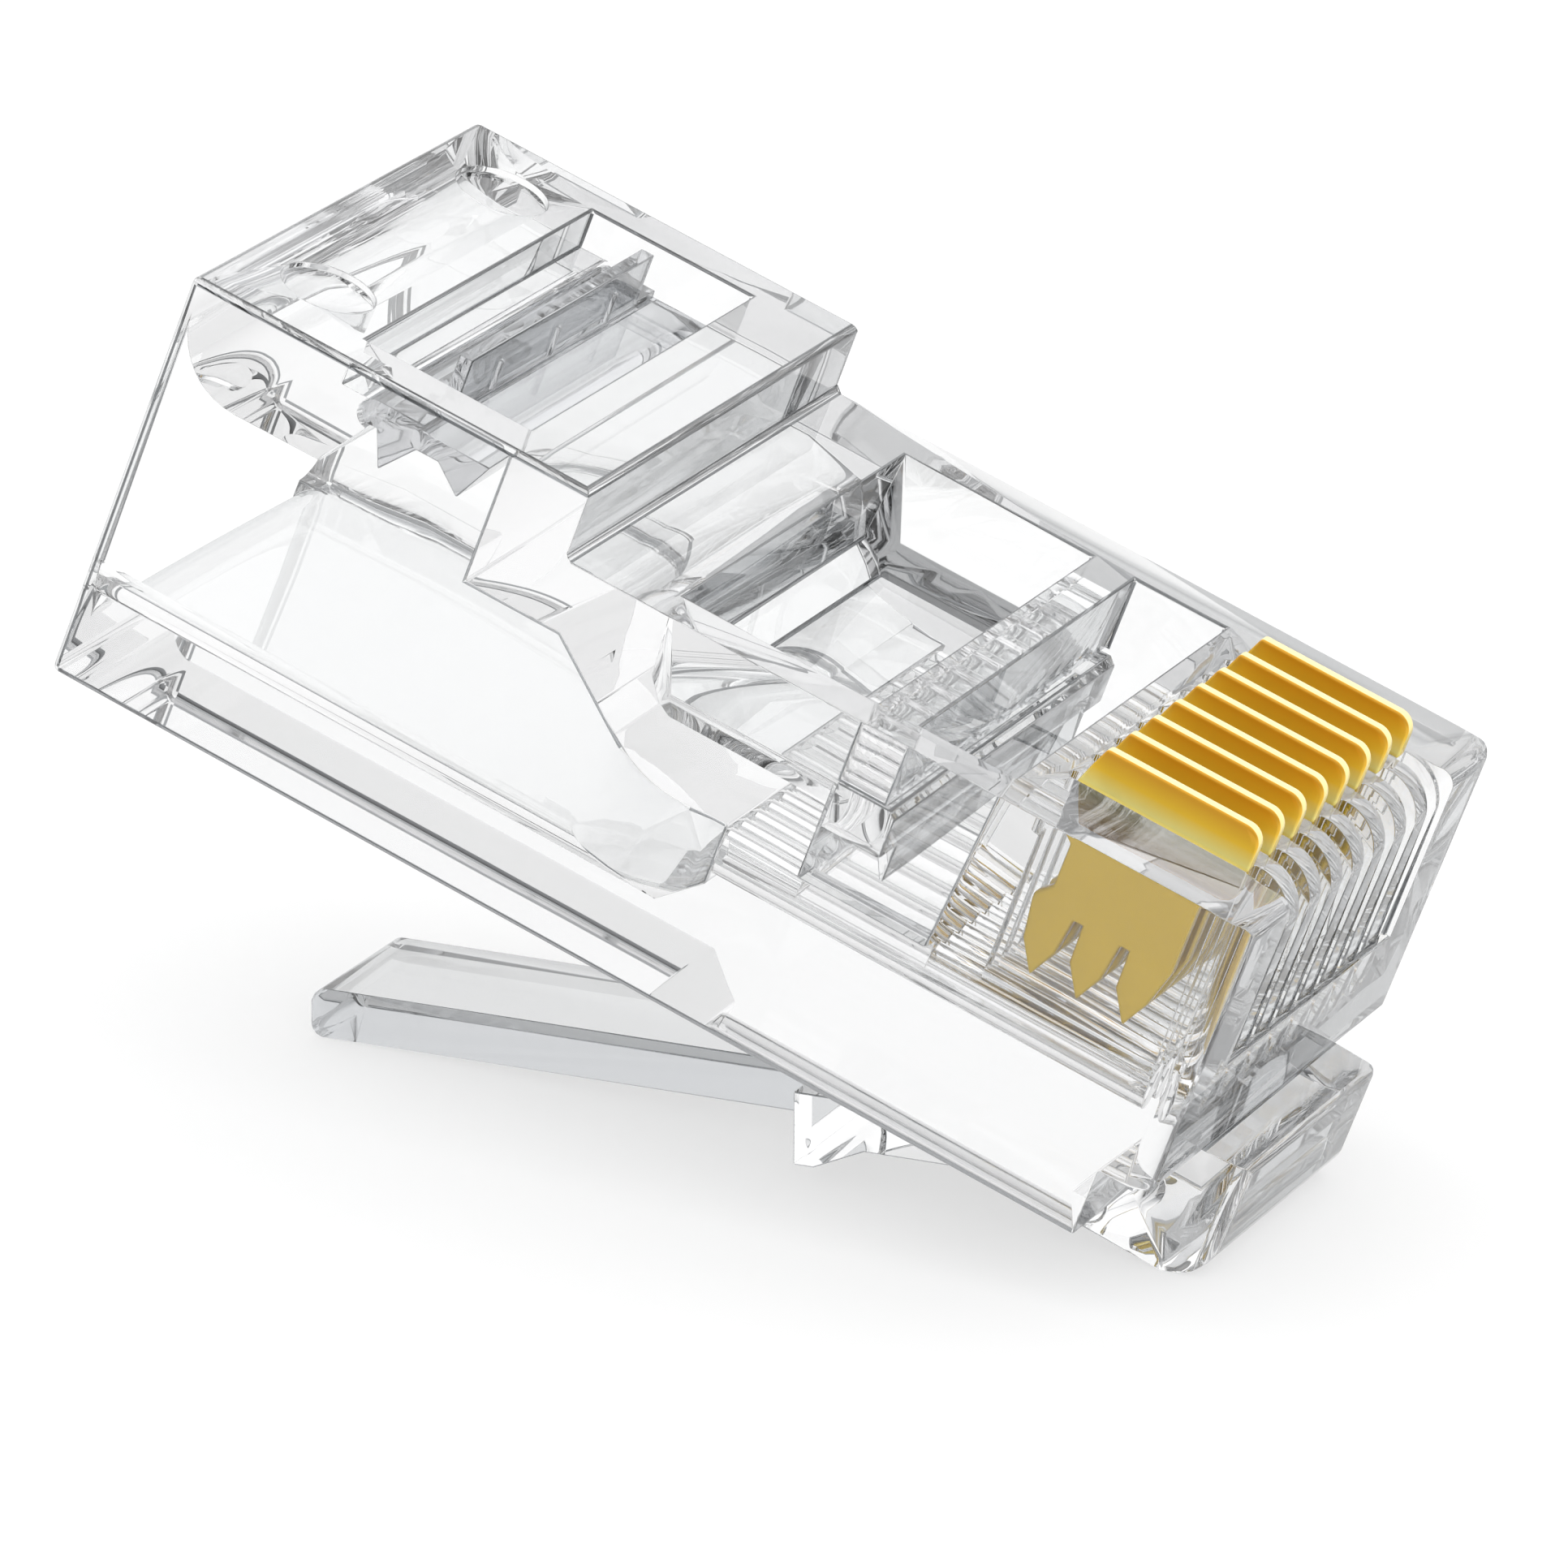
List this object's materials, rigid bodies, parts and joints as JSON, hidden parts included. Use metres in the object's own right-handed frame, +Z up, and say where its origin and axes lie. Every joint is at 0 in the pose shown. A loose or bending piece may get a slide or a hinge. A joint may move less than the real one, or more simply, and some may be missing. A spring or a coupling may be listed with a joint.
{
  "type": "rj45 modular plug",
  "caption": "Clear crimp-on network plug with a raised cable end, gold-plated blade contacts and a sprung locking latch.",
  "frame": {"origin": "middle of the footprint of the bounding box, on the surface the plug lies on", "axes": "+X towards the nose that enters the jack, +Y across the row of contacts, +Z up; the plug lies on its latch, nose down by 16.6 degrees"},
  "size_m": [0.0236, 0.0116, 0.0156],
  "materials": {
    "clear_polycarbonate": "clear moulded gloss",
    "contact_gold": "gold plating over phosphor bronze, polished"
  },
  "bodies": {
    "housing": {"housing": "clear_polycarbonate"},
    "latch_lever": {"latch_lever": "clear_polycarbonate"},
    "strain_relief_bar": {"strain_relief_bar": "clear_polycarbonate"},
    "conductor_clamp_bar": {"conductor_clamp_bar": "clear_polycarbonate"},
    "contact_1": {"contact_1": "contact_gold"},
    "contact_2": {"contact_2": "contact_gold"},
    "contact_3": {"contact_3": "contact_gold"},
    "contact_4": {"contact_4": "contact_gold"},
    "contact_5": {"contact_5": "contact_gold"},
    "contact_6": {"contact_6": "contact_gold"},
    "contact_7": {"contact_7": "contact_gold"},
    "contact_8": {"contact_8": "contact_gold"}
  },
  "joints": [
    {"name": "latch_hinge", "type": "hinge", "parent": "housing", "child": "latch_lever", "pos_m": [0.00815, 0, 0.00094], "axis": [0, 1, 0], "range_deg": [0, 11], "stiffness_Nm_per_rad": 0.03},
    {"name": "strain_relief_hinge", "type": "hinge", "parent": "housing", "child": "strain_relief_bar", "pos_m": [-0.00601, 0, 0.0135], "axis": [0, 1, 0], "range_deg": [0, 25]},
    {"name": "conductor_clamp_slide", "type": "slide", "parent": "housing", "child": "conductor_clamp_bar", "axis": [-0.2853, 0, -0.9584], "range_m": [0, 0.0009]},
    {"name": "contact_1_slide", "type": "slide", "parent": "housing", "child": "contact_1", "axis": [-0.2853, 0, -0.9584], "range_m": [0, 0.00115]},
    {"name": "contact_2_slide", "type": "slide", "parent": "housing", "child": "contact_2", "axis": [-0.2853, 0, -0.9584], "range_m": [0, 0.00115]},
    {"name": "contact_3_slide", "type": "slide", "parent": "housing", "child": "contact_3", "axis": [-0.2853, 0, -0.9584], "range_m": [0, 0.00115]},
    {"name": "contact_4_slide", "type": "slide", "parent": "housing", "child": "contact_4", "axis": [-0.2853, 0, -0.9584], "range_m": [0, 0.00115]},
    {"name": "contact_5_slide", "type": "slide", "parent": "housing", "child": "contact_5", "axis": [-0.2853, 0, -0.9584], "range_m": [0, 0.00115]},
    {"name": "contact_6_slide", "type": "slide", "parent": "housing", "child": "contact_6", "axis": [-0.2853, 0, -0.9584], "range_m": [0, 0.00115]},
    {"name": "contact_7_slide", "type": "slide", "parent": "housing", "child": "contact_7", "axis": [-0.2853, 0, -0.9584], "range_m": [0, 0.00115]},
    {"name": "contact_8_slide", "type": "slide", "parent": "housing", "child": "contact_8", "axis": [-0.2853, 0, -0.9584], "range_m": [0, 0.00115]}
  ]
}
